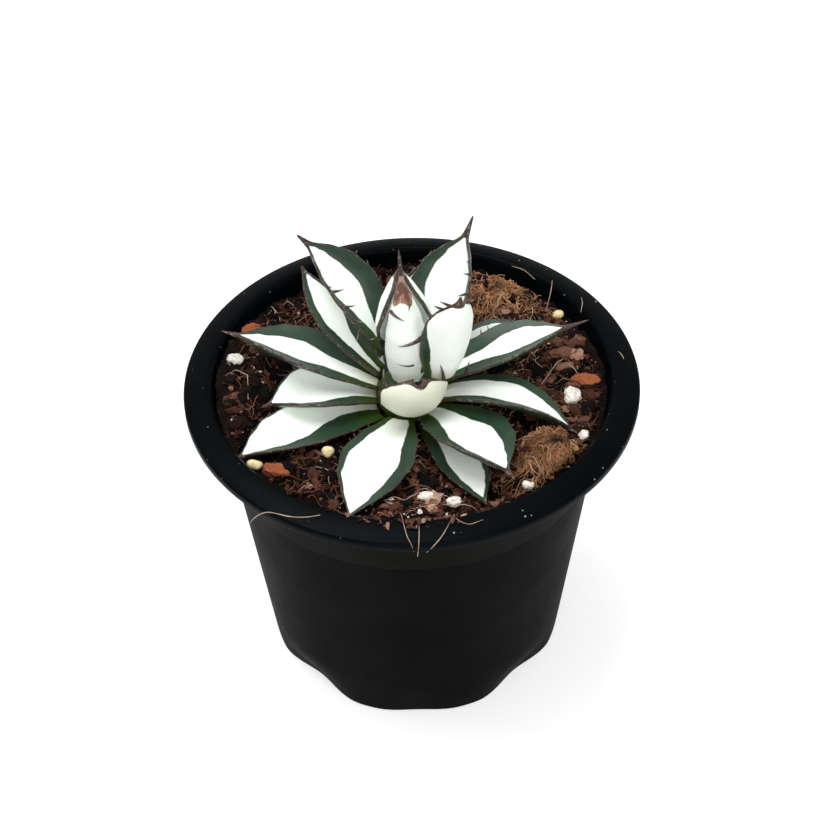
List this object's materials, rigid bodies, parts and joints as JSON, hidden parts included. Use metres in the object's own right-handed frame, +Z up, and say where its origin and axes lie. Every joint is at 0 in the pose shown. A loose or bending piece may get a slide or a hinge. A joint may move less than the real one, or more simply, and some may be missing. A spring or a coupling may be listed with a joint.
{
  "type": "potted agave",
  "caption": "Young variegated agave rosette, white leaves with dark green margins, teeth and spines, in a round black plastic nursery pot of bark and coir mix.",
  "frame": {"origin": "on the pot's axis, in the plane that the pot's foot stands on", "axes": "+Z up along the pot's axis, -Y towards the front of the plant, where its lowest leaf hangs, +X to the right seen from the front"},
  "size_m": [0.12, 0.12, 0.1327],
  "materials": {
    "pot_plastic": "thin moulded black plastic, satin on the rim and duller on the wall",
    "growing_medium": "coarse dark brown bark and coir mix with fibres and white specks",
    "leaf": "smooth waxy leaf, white in the middle with blue-green margins and brown horny edges and teeth",
    "leaf_base": "pale yellow-green fleshy base of the leaves",
    "perlite": "chalky white porous grain",
    "bark": "rough orange-brown bark chip",
    "coir_husk": "fibrous tan husk chunk",
    "feed_granule": "tan coated feed granule"
  },
  "bodies": {
    "root": {"bark_chip_front": "bark", "bark_chip_left": "bark", "bark_chip_right": "bark", "centre_bud": "leaf", "feed_granule_left": "feed_granule", "feed_granule_rear": "feed_granule", "feed_prill": "feed_granule", "growing_medium": "growing_medium", "husk_chunk": "coir_husk", "leaf_bud_wrapper": "leaf", "leaf_front_right": "leaf", "leaf_inner_front": "leaf", "leaf_inner_right": "leaf", "leaf_left": "leaf", "leaf_low_front": "leaf", "leaf_low_front_right": "leaf", "leaf_low_left": "leaf", "leaf_rear": "leaf", "leaf_rear_left": "leaf", "leaf_rear_left_low": "leaf", "leaf_rear_low": "leaf", "leaf_rear_right": "leaf", "leaf_rear_right_low": "leaf", "leaf_right": "leaf", "leaf_upper_left": "leaf", "leaf_upper_right": "leaf", "perlite_front": "perlite", "perlite_front_left": "perlite", "perlite_front_right": "perlite", "perlite_left": "perlite", "perlite_right": "perlite", "perlite_right_small": "perlite", "pot": "pot_plastic", "stem": "leaf_base"}
  },
  "joints": []
}
